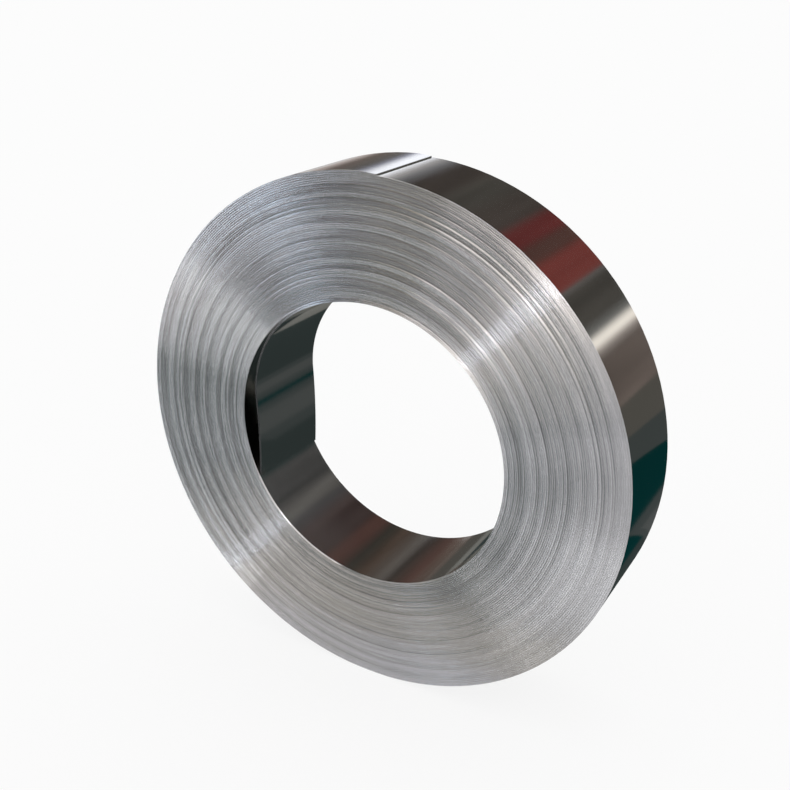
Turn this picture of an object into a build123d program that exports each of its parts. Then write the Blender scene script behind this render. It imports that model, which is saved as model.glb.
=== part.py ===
"""Narrow coil of flat steel strip, standing on its rim.

Drawn as seen from the front: X to the right, Y up, angles anticlockwise from the
right, and the width of the strip along Z.  At the end the coil is turned up on its
rim, so that the bore runs along Y and the front faces -Y.
"""
from build123d import *
import math
import os

# Driving sizes, in millimetres and degrees.
strip_width = 103.0      # slit width of the strip
strip_thick = 2.0        # one turn
bore_radius = 150.0      # wound on a 300 mm mandrel
outer_end_angle = 87.0   # the last turn stops just to the right of the top
inner_end_angle = 120.0  # the first turn has sprung off the bore wall from here on
tail_spring = 33.0       # how far the sprung turn's own centre has moved off the bore's
tail_gap = 0.3           # between the tip of the sprung turn and the wall

# Bands of turns from the bore outwards.  The strip wandered on the mandrel as it was
# wound: each band has a number of turns, and a share of the largest stand-out by which
# it stands out at the front.  At the back it stands in, because the strip keeps its width.
largest_stand_out = 1.0
bands = (
    (7, 0.4), (4, -0.6), (5, 0.5), (3, -0.3), (3, 0.7), (5, -0.5), (4, 0.2), (3, -1.0),
    (4, 0.6), (4, -0.2), (5, 1.0), (3, -0.4), (3, 0.5), (3, -0.7), (6, -0.1),
)

outer_radius = bore_radius + strip_thick * sum(turns for turns, share in bands)


def on_circle(radius, angle):
    """Point of the front view at a radius and an angle."""
    turn = math.radians(angle)
    return Vector(radius * math.cos(turn), radius * math.sin(turn))


def wound_disc(radius, angle):
    """Disc edged by one turn of strip: it starts at a radius and an angle and closes in
    by one thickness on its way round, as two half circles with a step where they meet."""
    middle = radius - strip_thick / 2
    last = radius - strip_thick
    with BuildSketch() as disc:
        with BuildLine():
            near = CenterArc(on_circle((radius - middle) / 2, angle), (radius + middle) / 2, angle, 180)
            far = CenterArc(on_circle((last - middle) / 2, angle), (last + middle) / 2, angle + 180, 180)
            Line(far @ 1, near @ 0)
        make_face()
    return disc.sketch


def sprung_tail():
    """The start of the strip, off the wall: an arc of smaller radius that leaves the wall
    without a kink, then a straight length down to the wall again."""
    bend = bore_radius - tail_spring
    centre = on_circle(tail_spring, inner_end_angle)
    inner_x = centre.X - bend
    outer_x = inner_x - strip_thick
    wall = bore_radius + 0.75 * strip_thick
    tip_y = -math.sqrt((wall - tail_gap) ** 2 - outer_x ** 2)
    sweep = 180 - inner_end_angle
    with BuildSketch() as tail:
        with BuildLine():
            inner = CenterArc(centre, bend, inner_end_angle, sweep)
            outer = CenterArc(centre, bend + strip_thick, inner_end_angle, sweep)
            Polyline(inner @ 1, (inner_x, tip_y), (outer_x, tip_y), outer @ 1)
            Line(outer @ 0, inner @ 0)
        make_face()
    return tail.sketch


def front_height(share):
    """Height of a band's front end over the middle of the strip's width."""
    return strip_width / 2 + share * largest_stand_out


def across_width(face, share):
    """A face of the front view drawn out over the width of the strip."""
    return extrude(Pos(0, 0, front_height(share) - strip_width) * face, strip_width)


def turned_bands(radius, some_bands):
    """Whole bands turned in one piece from a stepped profile."""
    front, back = [], []
    for turns, share in some_bands:
        next_radius = radius + turns * strip_thick
        height = front_height(share)
        front += [(radius, height), (next_radius, height)]
        back += [(radius, height - strip_width), (next_radius, height - strip_width)]
        radius = next_radius
    profile = make_face(Plane.XZ * Polyline(*front, *reversed(back), close=True))
    return revolve(profile, Axis.Z)


first_turns, first_share = bands[0]
last_turns, last_share = bands[-1]
first_radius = bore_radius + first_turns * strip_thick
last_radius = outer_radius - last_turns * strip_thick

bore_end = Circle(first_radius) - wound_disc(bore_radius + strip_thick, inner_end_angle)
rim_end = wound_disc(outer_radius, outer_end_angle) - Circle(last_radius)

coil = across_width(bore_end + sprung_tail(), first_share)
coil += turned_bands(first_radius, bands[1:-1])
coil += across_width(rim_end, last_share)

coil = coil.rotate(Axis.X, 90)
box = coil.bounding_box()
coil = coil.translate(Vector(-box.center().X, -box.center().Y, -box.min.Z))

os.makedirs("parts", exist_ok=True)
export_step(coil, "parts/strip_coil.step")
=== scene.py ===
import bpy
import math
import numpy as np
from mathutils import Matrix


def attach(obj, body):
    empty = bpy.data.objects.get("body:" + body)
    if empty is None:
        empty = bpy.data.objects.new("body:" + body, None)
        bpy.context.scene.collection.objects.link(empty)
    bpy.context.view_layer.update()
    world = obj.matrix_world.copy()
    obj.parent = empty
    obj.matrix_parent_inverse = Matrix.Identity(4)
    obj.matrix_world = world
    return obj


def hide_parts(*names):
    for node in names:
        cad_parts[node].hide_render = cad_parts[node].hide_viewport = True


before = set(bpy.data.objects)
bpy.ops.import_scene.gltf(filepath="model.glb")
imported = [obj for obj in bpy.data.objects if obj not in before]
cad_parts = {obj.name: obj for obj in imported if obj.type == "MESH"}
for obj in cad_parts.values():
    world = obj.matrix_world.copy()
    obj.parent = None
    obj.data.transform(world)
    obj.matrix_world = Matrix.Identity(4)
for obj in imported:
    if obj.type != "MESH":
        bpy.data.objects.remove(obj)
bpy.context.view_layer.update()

# The steel strip.  One length of bright cold-rolled strip, wound tight on a 300 mm mandrel
# that has been drawn out again.  The turns hold each other, the first one has sprung off the
# bore wall on the left, and the last one stops just to the right of the top.
strip_width = 0.103
strip_thick = 0.00198
turn_room = 0.002
bore_radius = 0.150
outer_radius = 0.274
outer_end_angle = math.radians(87)
inner_end_angle = math.radians(120)
full_turns = 61
stations_per_turn = 132

# The tail: how far its arc's centre lies off the axis, the bow of its nearly straight length,
# and its tip's gap to the wall, which has been wound for three quarters of a turn there.
# It counts as 0.24 of a turn before the first one.
tail_spring = 0.033
tail_bow = 0.0015
tail_tip_gap = 0.0003
tip_on_wall = 0.75
tail_turns = 0.24
rise_stations = 9
arc_stations = 24

# Bands of turns that stand out of the front end together, from the bore outwards: how many
# turns, and the share of the largest stand-out.  Between two bands there is a groove.
bands = (
    (7, 0.4), (4, -0.6), (5, 0.5), (3, -0.3), (3, 0.7), (5, -0.5), (4, 0.2), (3, -1.0),
    (4, 0.6), (4, -0.2), (5, 1.0), (3, -0.4), (3, 0.5), (3, -0.7), (6, -0.1),
)
largest_stand_out = 0.001
band_share = 0.82
least_band_share = 0.2
step_run = (0.15, 0.7)
groove_depth = 0.0004
groove_share = (0.4, 1.0)
groove_reach = 0.45
wander_share = 0.05
wander_every = 0.31

# How strongly the bands show, at least and at the two places below.
least_relief = 0.02
pushed_relief = 0.80
resting_relief = 0.30

# How far the slit edges lean, and over how many turns each lean reaches or comes back.  A
# stretch says how many turns from the bore it ends, and over how many turns it fades out.
ridge_lean = math.radians(27)
groove_lean = math.radians(15)
lean_share = (0.6, 1.15)
lean_reach = 0.6
widest_single_roll = 4.4
quick_tilt = math.radians(1)
quick_every = 0.045
slow_tilt = math.radians(0.9)
slow_every = 0.4
first_turn_lean = math.radians(24)
first_turn_roll = math.radians(36)
first_turn_fan = math.radians(8)
first_turn_lift = math.radians(14)
first_turn_stretch = (1.6, 0.4)
first_turn_light_stretch = (2.1, 1)
last_band_lean = math.radians(15)
last_band_run = 0.6

# Where each of these shows on the coil: its angle from the right and its spread, in degrees.
pushed_side = (60, 37)
resting_side = (250, 32)
first_turn_faces_light = (60, 55)
last_band_faces_light = (48, 36)
first_turn_lifted = (285, 22)
first_turn_bare = (225, 25)

# The section's rounded corners, the angles at the middle of a corner and at the edge of the
# land, in degrees, and the share of its thickness that the strip has lost at its outer end.
corner_radius = 0.00018
corner_middle = 48
land_crown = 4
end_rolled_over = 0.45
chance = np.random.default_rng(7)

# The bore's axis lies along Y.  The rim closes in by one thickness in a turn, so the middle
# of the coil's box is a quarter of a thickness beside the axis.
axis_x = turn_room / 4
axis_z = outer_radius - turn_room / 2


def strip_path():
    """Middle line of the strip from the tip of the tail to the outer end, seen from the front.

    A nearly straight length rises to the height of the tail's own centre, an arc of the tail's
    radius turns it clockwise on to the bore wall, and from there the radius grows evenly
    with the angle.  Returns x, z, the angle of the outward normal and the turns wound."""
    half = turn_room / 2
    bend = bore_radius - tail_spring + half
    centre_x = tail_spring * math.cos(inner_end_angle)
    centre_z = tail_spring * math.sin(inner_end_angle)
    tip_reach = bore_radius + tip_on_wall * turn_room - tail_tip_gap
    tip_z = -math.sqrt(tip_reach ** 2 - (bend + half - centre_x) ** 2)

    rise_z = np.linspace(tip_z, centre_z, rise_stations, endpoint=False)
    share = (rise_z - tip_z) / (centre_z - tip_z)
    rise_x = centre_x - bend + 4 * tail_bow * share * (1 - share)
    rise_lean = math.pi - 4 * tail_bow * (1 - 2 * share) / (centre_z - tip_z)
    arc = np.linspace(math.pi, inner_end_angle, arc_stations, endpoint=False)

    turns = full_turns + (inner_end_angle - outer_end_angle) / (2 * math.pi)
    wound = np.linspace(0, turns, round(turns * stations_per_turn) + 1)
    angle = inner_end_angle - 2 * math.pi * wound
    radius = bore_radius + half + (outer_radius - bore_radius - turn_room) * wound / turns

    x = np.concatenate([rise_x, centre_x + bend * np.cos(arc), radius * np.cos(angle)])
    z = np.concatenate([rise_z, centre_z + bend * np.sin(arc), radius * np.sin(angle)])
    normal = np.concatenate([rise_lean, arc, angle])
    before = np.linspace(-tail_turns, 0, rise_stations + arc_stations, endpoint=False)
    return x, z, normal, np.concatenate([before, wound])


# The edges between bands, in turns wound, each begun up to half a turn early or late.
turns_in_band = np.array([count for count, share in bands])
inner_edges = np.cumsum(turns_in_band)[:-1] + chance.uniform(-0.5, 0.5, len(bands) - 1)
band_edges = np.concatenate([[-1], inner_edges, [full_turns + 2]])


def near_angle(angle, degrees, spread):
    """1 where the angle round the axis is the one asked for, falling to 0 on both sides as
    the bell curve of the distance over the spread."""
    apart = (angle - math.radians(degrees) + math.pi) % (2 * math.pi) - math.pi
    return np.exp(-(apart / math.radians(spread)) ** 2)


def band_relief(angle):
    """How strongly the bands show at each angle: most at the upper right, where the coil
    was pushed, a little at the bottom and hardly elsewhere."""
    relief = least_relief + pushed_relief * near_angle(angle, *pushed_side)
    return relief + resting_relief * near_angle(angle, *resting_side)


def wander(wound, spacing, size):
    """A line through random heights of a typical size, at knots evenly spaced in turns."""
    knots = np.arange(-1, full_turns + 3, spacing)
    return np.interp(wound, knots, chance.normal(0, size, len(knots)))


def stand_out(wound, angle):
    """How far each station of the strip stands out at the front: smooth steps from band to
    band, each of its own length, a groove at each step, and a slow wander of single turns,
    cut off at twice its size.  The steps and grooves follow the relief at the angle."""
    shares = np.array([share for count, share in bands])
    runs = chance.uniform(*step_run, len(inner_edges))
    depths = chance.uniform(*groove_share, len(inner_edges))
    total = np.full_like(wound, shares[0])
    groove = np.zeros_like(wound)
    for edge, run, rise, depth in zip(inner_edges, runs, np.diff(shares), depths):
        step = np.clip((wound - edge) / run + 0.5, 0, 1)
        total += rise * step * step * (3 - 2 * step)
        groove += depth * np.exp(-((wound - edge) / groove_reach) ** 2)
    single_turns = wander_share * np.clip(wander(wound, wander_every, 1), -2, 2)
    relief = band_relief(angle)
    together = band_share * total * (least_band_share + (1 - least_band_share) * relief)
    return largest_stand_out * (together + single_turns) - groove_depth * groove * relief


def strip_section():
    """Closed outline of the strip across its width, clockwise from the outer face at the
    front.  Each slit edge is a nearly flat land between two corners that the levelling
    rolls have rounded, so its normal fans out from the land to either rolled face.
    Returns the outward and the frontward place of each point, and its normal's angle from
    the frontward direction, positive outwards."""
    half = strip_thick / 2
    wide = strip_width / 2
    fan = np.radians([90, corner_middle, land_crown])
    outer_corner = half - corner_radius * (1 - np.sin(fan))
    inner_corner = corner_radius * (1 - np.sin(fan[::-1])) - half
    out = np.concatenate([outer_corner, inner_corner])
    front = wide - corner_radius * (1 - np.cos(np.concatenate([fan, fan[::-1]])))
    lean = np.concatenate([fan, -fan[::-1]])
    out = np.concatenate([out, out[::-1]])
    front = np.concatenate([front, -front[::-1]])
    lean = np.concatenate([lean, math.pi - lean[::-1]])
    return out, front, lean


def up_to(wound, end, run):
    """1 from the tail on, falling evenly to 0 over a run of turns that stops at the end."""
    return np.clip((end - wound) / run, 0, 1)


def bare_corner(wound, angle):
    """1 along the stretch of the first turn past the tip of the tail, where its corner is
    bare and has been rolled over towards the bore, and 0 elsewhere.  Four times the bell
    curve, cut off at 1, gives it a flat middle and short ends."""
    bare = np.clip(4 * near_angle(angle, *first_turn_bare), 0, 1)
    return up_to(wound, *first_turn_stretch) * bare


def edge_tilt(wound, angle):
    """How far the slit edge leans outwards at each station, in radians: the turns of a band
    roll over to either side of it, and every turn is a little out of square by an angle
    that changes along the strip.  A wide band rolls as two.  The first turn and the last
    band lean towards the light at the upper right.  The first turn is lifted at the bottom
    as well, and leans inwards where its corner is bare."""
    middles = (band_edges[:-1] + band_edges[1:]) / 2
    too_wide = np.diff(band_edges) > widest_single_roll
    edges = np.sort(np.concatenate([band_edges, middles[:-1][too_wide[:-1]]]))
    band = np.clip(np.searchsorted(edges, wound) - 1, 0, len(edges) - 2)
    innermost = edges[band] + 0.5
    outermost = edges[band + 1] - 0.5
    groove = np.exp(-((wound - innermost) / lean_reach) ** 2)
    ridge = np.exp(-((wound - outermost) / lean_reach) ** 2)
    strength = chance.uniform(*lean_share, len(edges) - 1)
    strength[-1] = 0

    tilt = wander(wound, quick_every, quick_tilt) + wander(wound, slow_every, slow_tilt)
    tilt += strength[band] * band_relief(angle) * (ridge_lean * ridge - groove_lean * groove)
    in_last_band = np.clip((wound - band_edges[-2]) / last_band_run, 0, 1)
    tilt += last_band_lean * in_last_band * near_angle(angle, *last_band_faces_light)
    lean = first_turn_lean * up_to(wound, *first_turn_light_stretch)
    tilt += lean * near_angle(angle, *first_turn_faces_light)
    lift = first_turn_lift * up_to(wound, *first_turn_stretch)
    tilt += lift * near_angle(angle, *first_turn_lifted)
    return tilt - first_turn_roll * bare_corner(wound, angle)


def turned_to(normal, outwards, frontwards):
    """Vectors in the coil's frame, from their parts along each station's outward normal and
    towards the front."""
    along_x = outwards * np.cos(normal)[:, None]
    along_z = outwards * np.sin(normal)[:, None]
    return np.stack([along_x, -frontwards, along_z], -1)


def strip_quads(rows, points):
    """The quads between neighbouring stations and neighbouring points of the section: the
    row and the point of each of their four corners."""
    row, point = np.meshgrid(np.arange(rows - 1), np.arange(points), indexing="ij")
    following = (point + 1) % points
    corner_rows = np.stack([row, row, row + 1, row + 1], -1).reshape(-1, 4)
    corner_points = np.stack([point, following, following, point], -1).reshape(-1, 4)
    return corner_rows, corner_points


def strip_map(x, z, out, front, corner_rows, corner_points):
    """The UV map in metres: the length along the path and the length round the section.
    The last quad round the section ends at the full length and not at 0.  The two end
    faces are mapped flat."""
    along = np.concatenate([[0], np.cumsum(np.hypot(np.diff(x), np.diff(z)))])
    lengths = np.hypot(np.diff(out, append=out[0]), np.diff(front, append=front[0]))
    round_it = np.concatenate([[0], np.cumsum(lengths)])
    closing = (corner_points == 0) & np.array([False, True, True, False])
    across = np.where(closing, round_it[-1], round_it[corner_points])
    sides = np.stack([along[corner_rows], across], -1).reshape(-1, 2)
    end_face = np.stack([out, front], -1)
    return np.concatenate([sides, end_face[::-1], end_face]).astype(np.float32)


def wound_strip():
    """The strip as one closed mesh: the section carried along the path, and its two ends.
    The rolled sides and the outer end, which is rolled thin, take the first material.  The
    slit edges and the sheared tip of the tail take the second."""
    x, z, normal, wound = strip_path()
    out, front, lean = strip_section()
    rows, points = len(x), len(out)
    shift = stand_out(wound, normal)[:, None]
    tilt = edge_tilt(wound, normal)[:, None] * np.cos(lean)
    land_inner_edge = points // 4
    tilt[:, land_inner_edge] -= first_turn_fan * bare_corner(wound, normal)

    thinned = np.ones((rows, 1))
    thinned[-1] -= end_rolled_over
    outwards = (out + strip_thick / 2) * thinned - strip_thick / 2
    centre = np.stack([axis_x + x, np.zeros(rows), axis_z + z], -1)[:, None]
    place = centre + turned_to(normal, outwards, front + shift)
    facing = turned_to(normal, np.sin(lean + tilt), np.cos(lean + tilt))

    corner_rows, corner_points = strip_quads(rows, points)
    sides = corner_rows * points + corner_points
    tip = np.arange(points)[::-1]
    end = (rows - 1) * points + np.arange(points)
    mesh = bpy.data.meshes.new("steel_strip")
    mesh.from_pydata(place.reshape(-1, 3), [], sides.tolist() + [tip.tolist(), end.tolist()])

    strip_uv = strip_map(x, z, out, front, corner_rows, corner_points)
    mesh.uv_layers.new(name="strip").uv.foreach_set("vector", strip_uv.ravel())
    rolled = np.isin(corner_points[:, 0], (points // 2 - 1, points - 1))
    material = np.concatenate([np.where(rolled, 0, 1), [1, 0]]).astype(np.int32)
    mesh.polygons.foreach_set("material_index", material)
    mesh.polygons.foreach_set("use_smooth", np.ones(len(material), bool))

    tip_facing = np.tile([0.0, 0.0, -1.0], (points, 1))
    end_facing = np.tile([math.sin(normal[-1]), 0.0, -math.cos(normal[-1])], (points, 1))
    loops = np.concatenate([facing.reshape(-1, 3)[sides.ravel()], tip_facing, end_facing])
    mesh.update()
    mesh.normals_split_custom_set(loops)
    return mesh


strip = bpy.data.objects.new("steel_strip", wound_strip())
bpy.context.collection.objects.link(strip)


class Socket:
    """A node's output in a material, on which Python's operators add Math nodes."""

    def __init__(self, graph, output):
        self.graph = graph
        self.output = output

    def __add__(self, other):
        return self.graph.maths("ADD", self, other)

    def __sub__(self, other):
        return self.graph.maths("SUBTRACT", self, other)

    def __rsub__(self, other):
        return self.graph.maths("SUBTRACT", other, self)

    def __mul__(self, other):
        return self.graph.maths("MULTIPLY", self, other)

    def __truediv__(self, other):
        return self.graph.maths("DIVIDE", self, other)

    def __rtruediv__(self, other):
        return self.graph.maths("DIVIDE", other, self)

    __radd__ = __add__
    __rmul__ = __mul__


class Graph:
    """The nodes of one material or of the world."""

    def __init__(self, owner):
        owner.use_nodes = True
        self.tree = owner.node_tree
        self.tree.nodes.clear()

    def node(self, kind, settings=None, inputs=None, output=0):
        """Adds a node: its settings first, then values or links for its sockets by name or
        number.  Returns the output asked for."""
        made = self.tree.nodes.new("ShaderNode" + kind)
        for name, value in (settings or {}).items():
            if name == "stops":
                ramp = made.color_ramp.elements
                ramp.remove(ramp[1])
                ramp[0].position = value[0][0]
                ramp[0].color = (*value[0][1], 1)
                for position, colour in value[1:]:
                    ramp.new(position).color = (*colour, 1)
            else:
                setattr(made, name, value)
        for name, value in (inputs or {}).items():
            if isinstance(value, Socket):
                self.tree.links.new(value.output, made.inputs[name])
            else:
                made.inputs[name].default_value = value
        return Socket(self, made.outputs[output])

    def maths(self, operation, *values):
        """One Math node on numbers and sockets."""
        return self.node("Math", {"operation": operation}, dict(enumerate(values)))

    def mix(self, share, first, second):
        """The colour that lies a share of the way from the first to the second.  Sockets 6
        and 7 of a Mix node are its two colours, and its output 2 is the mixed one."""
        return self.node("Mix", {"data_type": "RGBA"}, {"Factor": share, 6: first, 7: second}, 2)

    def rays_that_show_it(self):
        """1 for the rays that show a background, 0 for those that light by it."""
        kinds = ("Is Camera Ray", "Is Glossy Ray", "Is Transmission Ray")
        first, second, third = (self.node("LightPath", None, None, kind) for kind in kinds)
        return first + second + third

    def finish(self, kind, shader):
        """Makes a shader the material's or the world's own."""
        end = self.tree.nodes.new("ShaderNodeOutput" + kind)
        self.tree.links.new(shader.output, end.inputs["Surface"])


def stretched_noise(graph, along, across, detail=2.0):
    """Noise on the strip's own map, drawn out along the strip: how many cells a metre along
    it, and how many across it."""
    uv = graph.node("UVMap", {"uv_map": "strip"})
    scaled = graph.node("VectorMath", {"operation": "MULTIPLY"}, {0: uv, 1: (along, across, 1)})
    return graph.node("TexNoise", {"noise_dimensions": "2D"}, {
        "Vector": scaled, "Scale": 1.0, "Detail": detail})


def rolled_steel():
    """Cold-rolled finish: a mirror with faint rolling lines along the strip."""
    material = bpy.data.materials.new("rolled_steel")
    graph = Graph(material)
    lines = stretched_noise(graph, along=1.5, across=900)
    haze = stretched_noise(graph, along=6, across=14)
    bump = graph.node("Bump", None, {"Strength": 0.02, "Distance": 0.001, "Height": lines})
    shader = graph.node("BsdfPrincipled", None, {
        "Base Color": (0.60, 0.60, 0.59, 1), "Metallic": 1.0,
        "Roughness": 0.055 + 0.05 * haze, "Normal": bump})
    graph.finish("Material", shader)
    return material


def slit_steel():
    """Slit edge: sheared by rotary knives, duller than the rolled faces.  Rows of knife
    marks run along it, four to a thickness, flat on top and steep at their sides, so that
    it throws a light back as a fan.  Its tone differs from turn to turn and drifts.  Along
    the sprung tail its colour is darkened to a painted shade for the tail's recessed, shadowed edge."""
    marks_per_metre = 2000
    mark_depth = 0.00013
    # Painted shade: the edge is dark from the tail's tip to dark_until and reaches its own tone by
    # bright_from.
    dark_until, bright_from = 0.17, 0.235
    dull = (0.56, 0.57, 0.58, 1)
    bright = (0.86, 0.86, 0.86, 1)
    painted_tail_shade = (0.10, 0.10, 0.10, 1)
    material = bpy.data.materials.new("slit_steel")
    graph = Graph(material)
    tone = stretched_noise(graph, along=16, across=0, detail=3)
    sway = stretched_noise(graph, along=30, across=300, detail=1)
    uv = graph.node("UVMap", {"uv_map": "strip"})
    along = graph.node("SeparateXYZ", None, {0: uv}, "X")
    marks = graph.node("SeparateXYZ", None, {0: uv}, "Y") * marks_per_metre + 0.25 * sway
    side = graph.maths("FRACT", marks) * 2 - 1
    height = graph.maths("POWER", side * side, 2.5)
    past_tail = graph.node("MapRange", None, {
        "Value": along, "From Min": dark_until, "From Max": bright_from})
    colour = graph.mix(past_tail, painted_tail_shade, graph.mix(0.6 * (tone - 0.5) + 0.5, dull, bright))
    bump = graph.node("Bump", None, {
        "Strength": 1.0, "Distance": mark_depth, "Filter Width": 0.02, "Height": height})
    shader = graph.node("BsdfPrincipled", None, {
        "Base Color": colour, "Metallic": 1.0, "Roughness": 0.12 + 0.05 * tone, "Normal": bump})
    graph.finish("Material", shader)
    return material


strip.data.materials.append(rolled_steel())
strip.data.materials.append(slit_steel())
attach(strip, "root")
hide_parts("strip_coil")


# The floor and the light.  A pale floor that runs out to a white background, under an even
# white sky.  Only its shadow under the coil is left of it in the camera's view.
floor_reach = 20
floor_whitening = 0.82
sky = 0.95


def pale_floor():
    """Matt and pale where it takes light, and nearly white to the rays that show it."""
    material = bpy.data.materials.new("pale_floor")
    graph = Graph(material)
    seen = graph.rays_that_show_it()
    matt = graph.node("BsdfDiffuse", None, {"Color": (0.9, 0.9, 0.9, 1)})
    white = graph.node("Emission", None, {"Color": (1, 1, 1, 1), "Strength": 1.0})
    shader = graph.node("MixShader", None, {0: floor_whitening * seen, 1: matt, 2: white})
    graph.finish("Material", shader)
    return material


floor_corners = [(x * floor_reach, y * floor_reach, 0) for x, y in ((-1, -1), (1, -1), (1, 1), (-1, 1))]
floor_mesh = bpy.data.meshes.new("floor")
floor_mesh.from_pydata(floor_corners, [], [(0, 1, 2, 3)])
floor_mesh.materials.append(pale_floor())
floor = bpy.data.objects.new("floor", floor_mesh)
bpy.context.collection.objects.link(floor)

world = bpy.data.worlds.new("white_room")
bpy.context.scene.world = world
world_graph = Graph(world)
world_graph.finish("World", world_graph.node("Background", None, {
    "Color": (1, 1, 1, 1), "Strength": sky + (1 - sky) * world_graph.rays_that_show_it()}))


# What the steel mirrors.  Plain coloured cards stand round the coil and lie about it where
# its surroundings were.  Only glossy rays see them, so they throw no light and no shadow and
# stay out of the picture.
def unseen(card):
    """Leaves a card to glossy rays alone."""
    card.visible_camera = False
    card.visible_diffuse = False
    card.visible_shadow = False
    card.visible_transmission = False
    card.visible_volume_scatter = False


def card(name, across, place, low, high, colour, slant=0.0):
    """A flat card square to one axis at a place on it, between two corners that give its
    other two coordinates in order, turned by a slant about its middle, and of one colour."""
    corners = np.array([(low[0], low[1]), (high[0], low[1]), (high[0], high[1]), (low[0], high[1])])
    middle = corners.mean(0)
    turn = np.array([(math.cos(slant), math.sin(slant)), (-math.sin(slant), math.cos(slant))])
    corners = [tuple(corner) for corner in (corners - middle) @ turn + middle]
    axis = "xyz".index(across)
    mesh = bpy.data.meshes.new(name)
    mesh.from_pydata([corner[:axis] + (place,) + corner[axis:] for corner in corners], [], [(0, 1, 2, 3)])
    material = bpy.data.materials.new(name)
    graph = Graph(material)
    graph.finish("Material", graph.node("Emission", None, {"Color": (*colour, 1), "Strength": 1.0}))
    mesh.materials.append(material)
    made = bpy.data.objects.new(name, mesh)
    bpy.context.collection.objects.link(made)
    unseen(made)


# In front, at the sides and overhead.
lamp_slant = math.radians(45)
card("shop_lamp", "y", -3.25, (0.69, 1.33), (1.19, 1.45), (11.0, 10.8, 12.0), lamp_slant)
card("shop_skylight", "y", -3.45, (1.35, 2.65), (2.85, 3.15), (8.6, 8.7, 9.6), lamp_slant)
card("shop_window", "x", -2.98, (-4.29, 0), (-2.78, 0.48), (2.40, 3.00, 3.70))
card("shop_doorway", "y", -3.56, (-3, 0), (4, 3.77), (1.90, 1.74, 1.65))
card("shop_front_bench", "y", -3.55, (-3, 0), (-0.23, 1.37), (0.05, 0.05, 0.05))
card("shop_front_wall", "y", -3.55, (-3, 1.37), (-1.07, 3.77), (0.86, 0.76, 0.62))
card("shop_low_bench", "y", -3.55, (-0.23, 0), (2.2, 0.38), (0.60, 0.58, 0.56))
card("shop_left_bench", "x", -3, (-3.55, 0), (0.08, 1.06), (0.05, 0.05, 0.05))
card("shop_left_window", "x", -2.99, (-1.6, 0), (0.05, 0.5), (1.9, 1.9, 1.9))
card("shop_left_wall", "x", -3, (-3.55, 1.06), (0.08, 3.77), (0.20, 0.20, 0.20))
card("shop_left_wall_behind", "x", -3, (0.08, 0), (3, 3.77), (0.9, 0.9, 0.9))
card("shop_right_wall_behind", "x", 3.99, (0.08, 0), (3, 3.77), (1.5, 1.5, 1.5))
card("shop_right_wall", "x", 4, (-3.55, 0), (3, 3.77), (0.25, 0.25, 0.25))
card("shop_ceiling", "z", 3.77, (-3, -3.55), (4, 3), (0.25, 0.25, 0.25))
card("shop_ceiling_behind", "z", 3.76, (-3, 0.1), (4, 3), (2.5, 2.5, 2.5))

# On the floor, in layers a fraction of a millimetre apart, of which the upper covers the lower.
card("floor_at_the_coil", "z", 0.0030, (-0.25, -0.20), (1.82, -0.11), (0.54, 0.50, 0.44))
card("floor_green", "z", 0.0027, (-1.32, -0.62), (0.07, -0.11), (0.02, 0.04, 0.04))
card("floor_lit", "z", 0.0024, (-3, -2.10), (-1.36, -1.38), (2.24, 2.42, 2.67))
card("floor_shaded", "z", 0.0021, (-1.36, -1.89), (-1.0, -0.62), (0.37, 0.25, 0.23))
card("floor_grey", "z", 0.0021, (-1.0, -1.89), (0, -0.62), (0.22, 0.24, 0.24))
card("floor_by_the_foot", "z", 0.0024, (0.075, -0.42), (0.50, -0.235), (0.95, 0.94, 0.97))
card("floor_left", "z", 0.0018, (-3, -1.38), (-0.24, 0.05), (1.90, 1.94, 2.02))
card("floor_left_edge", "z", 0.0019, (-0.26, -0.62), (-0.21, 0.05), (1.20, 1.20, 1.22))
card("floor_far", "z", 0.0015, (-3, -3.55), (-0.50, -1.89), (0.36, 0.36, 0.43))
card("floor_right", "z", 0.0012, (-0.50, -3.55), (4, 0.05), (0.62, 0.61, 0.63))
card("floor_behind_seam", "z", 0.0033, (0.20, 0.36), (0.31, 0.80), (0.085, 0.092, 0.090))
card("floor_behind_seam_side", "z", 0.0030, (0.15, 0.34), (0.36, 0.80), (0.058, 0.068, 0.067))
card("floor_behind_middle", "z", 0.0027, (-0.20, 0.05), (0.27, 0.80), (0.036, 0.047, 0.046))
card("floor_behind_right", "z", 0.0024, (0.27, 0.05), (1.6, 0.80), (0.002, 0.031, 0.031))
card("floor_behind_left", "z", 0.0021, (-1.8, 0.05), (-0.20, 2.0), (0.200, 0.200, 0.185))
card("floor_behind_left_far", "z", 0.0024, (-1.8, 0.44), (-0.36, 2.0), (0.095, 0.090, 0.080))
card("floor_behind_beyond", "z", 0.0018, (-0.20, 0.80), (1.8, 1.25), (0.060, 0.069, 0.067))
card("floor_behind_lit", "z", 0.00165, (-0.65, 1.25), (0.62, 1.9), (1.7, 1.7, 1.7))
card("floor_behind_lit_far", "z", 0.00165, (-1.0, 1.9), (0.85, 3.3), (1.7, 1.7, 1.7))
card("floor_behind_lit_right", "z", 0.0027, (1.35, 0.05), (4.0, 1.05), (1.7, 1.7, 1.7))
card("floor_behind_lit_left", "z", 0.00165, (-3.0, 0.05), (-1.9, 1.0), (1.5, 1.5, 1.5))
card("floor_behind_far", "z", 0.0015, (-3.0, 0.05), (4.0, 3.3), (0.104, 0.098, 0.086))

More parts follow.
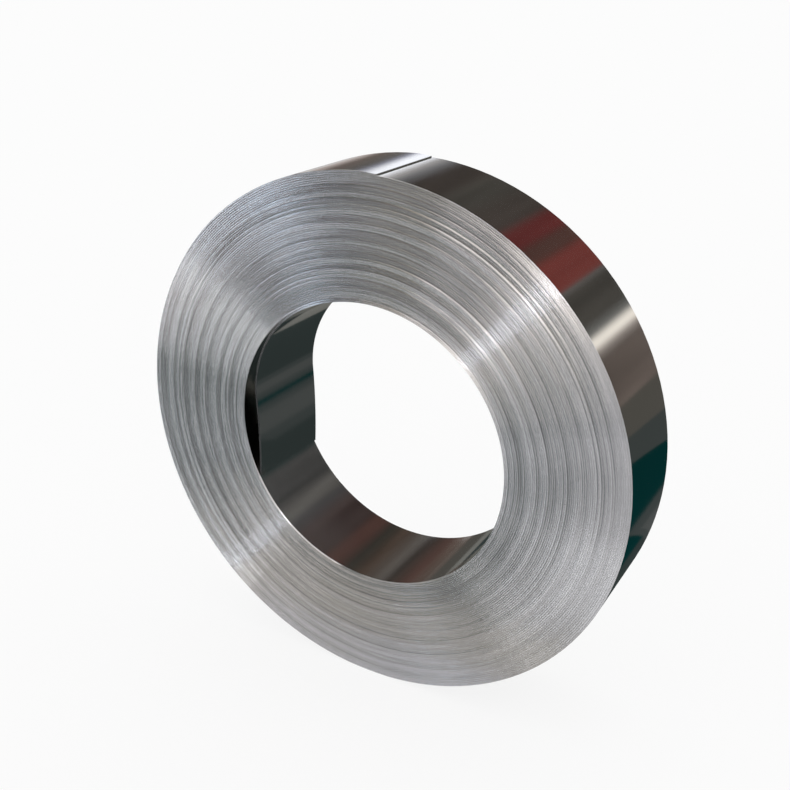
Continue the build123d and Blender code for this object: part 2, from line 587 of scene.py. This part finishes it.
# Behind the coil, a painted wall.
brown = (0.072, 0.060, 0.053)
dull_brown = (0.066, 0.047, 0.044)
pale_brown = (0.155, 0.125, 0.110)
slate = (0.080, 0.074, 0.065)
deep_red = (0.210, 0.054, 0.046)
dark_red = (0.15, 0.036, 0.034)
rust = (0.100, 0.052, 0.043)
green_grey = (0.034, 0.046, 0.045)
grey = (0.067, 0.066, 0.065)
warm_grey = (0.118, 0.105, 0.095)
lit_grey = (0.145, 0.138, 0.130)
lit_cream = (0.70, 0.67, 0.66)
warm_white = (1.15, 1.07, 0.97)
cool_white = (1.45, 1.48, 1.58)
wall_grey = (0.35, 0.35, 0.35)
wall_white = (0.6, 0.6, 0.6)


def stops_by_angle(*pairs):
    """Ramp stops from angles round the coil's axis, counted from the right, and colours."""
    return [((angle + 180) / 360, colour) for angle, colour in pairs]


rim_sees = stops_by_angle(
    (-178, lit_cream), (-168, lit_cream), (-160, pale_brown), (13, pale_brown),
    (17, (0.40, 0.35, 0.32)), (20, warm_white), (22, warm_white), (25, (0.24, 0.24, 0.23)),
    (30, slate), (44.5, slate), (45.5, lit_grey), (47, lit_grey), (48, deep_red),
    (61, deep_red), (65, rust), (71, rust), (74, dark_red), (81, dark_red),
    (86, brown), (96, brown), (104, slate), (112, slate), (118, brown), (129, brown),
    (135, (0.20, 0.20, 0.21)), (141, (0.46, 0.44, 0.43)), (145.5, cool_white), (150.5, cool_white),
    (153, (0.42, 0.43, 0.55)), (157, lit_grey), (169, pale_brown), (176, (0.39, 0.34, 0.32)))
bore_sees = stops_by_angle(
    (-175, pale_brown), (-100, green_grey), (14, green_grey), (18, grey), (38, grey),
    (46, lit_grey), (53, lit_grey), (58, (0.09, 0.088, 0.09)), (68, (0.080, 0.060, 0.057)),
    (75, dull_brown), (90, dull_brown), (96, rust), (104, rust), (113, (0.049, 0.047, 0.039)),
    (124, (0.100, 0.070, 0.054)), (140, warm_grey), (145, warm_grey), (149, brown),
    (156, (0.075, 0.052, 0.044)), (165, (0.113, 0.065, 0.055)), (177, (0.125, 0.093, 0.078)))


def painted_wall():
    """A disc far behind the coil, square to its axis.  Two rings of it are painted in
    sectors by the angle round the axis: the inner ring is what the rim mirrors, and the
    outer one is what the bore mirrors.  Faint rays of light and dark run over all of it."""
    distance, reach, corner_count = 3.0, 4.0, 96
    corners = np.linspace(0, 2 * math.pi, corner_count, endpoint=False)
    outline = np.stack([
        axis_x + reach * np.cos(corners), np.full_like(corners, distance),
        axis_z + reach * np.sin(corners)], -1)
    mesh = bpy.data.meshes.new("shop_back_wall")
    mesh.from_pydata(outline, [], [list(range(corner_count))])
    material = bpy.data.materials.new("shop_back_wall")
    graph = Graph(material)
    place = graph.node("TexCoord", None, None, "Object")
    x = graph.node("SeparateXYZ", None, {0: place}, "X") - axis_x
    z = graph.node("SeparateXYZ", None, {0: place}, "Z") - axis_z
    turn = graph.maths("ARCTAN2", z, x) / (2 * math.pi) + 0.5
    radius = graph.maths("SQRT", x * x + z * z)
    rim_ring = graph.node("ValToRGB", {"stops": rim_sees}, {0: turn})
    bore_ring = graph.node("ValToRGB", {"stops": bore_sees}, {0: turn})
    colour = (*wall_white, 1)
    for ring_edge, beyond in ((1.40, rim_ring), (2.35, bore_ring), (3.30, (*wall_grey, 1))):
        colour = graph.mix(graph.maths("GREATER_THAN", radius, ring_edge), colour, beyond)
    ray = graph.node("CombineXYZ", None, {"X": 30 * turn, "Y": 1.2 * radius})
    clutter = graph.node("TexNoise", {"noise_dimensions": "2D"}, {
        "Vector": ray, "Scale": 1.0, "Detail": 3.0})
    colour = graph.node("VectorMath", {"operation": "SCALE"}, {
        0: colour, "Scale": 0.45 + 1.1 * clutter})
    graph.finish("Material", graph.node("Emission", None, {"Color": colour, "Strength": 1.0}))
    mesh.materials.append(material)
    wall = bpy.data.objects.new("shop_back_wall", mesh)
    bpy.context.collection.objects.link(wall)
    unseen(wall)


painted_wall()

# The camera, where the photograph was taken from: its place is measured from the middle of
# the coil's front end, and it looks down at the coil from the front right.
camera_right, camera_front, camera_up = 0.4868, 0.7728, 0.4521
looks_down, turned_left = 23.395, 30.38
camera_data = bpy.data.cameras.new("camera")
camera_data.sensor_width = 36.0
camera_data.lens = 46.573
camera = bpy.data.objects.new("camera", camera_data)
camera.location = (axis_x + camera_right, -strip_width / 2 - camera_front, axis_z + camera_up)
camera.rotation_euler = (math.radians(90 - looks_down), 0, math.radians(turned_left))
bpy.context.collection.objects.link(camera)
bpy.context.scene.camera = camera
bpy.context.scene.view_settings.view_transform = "Standard"
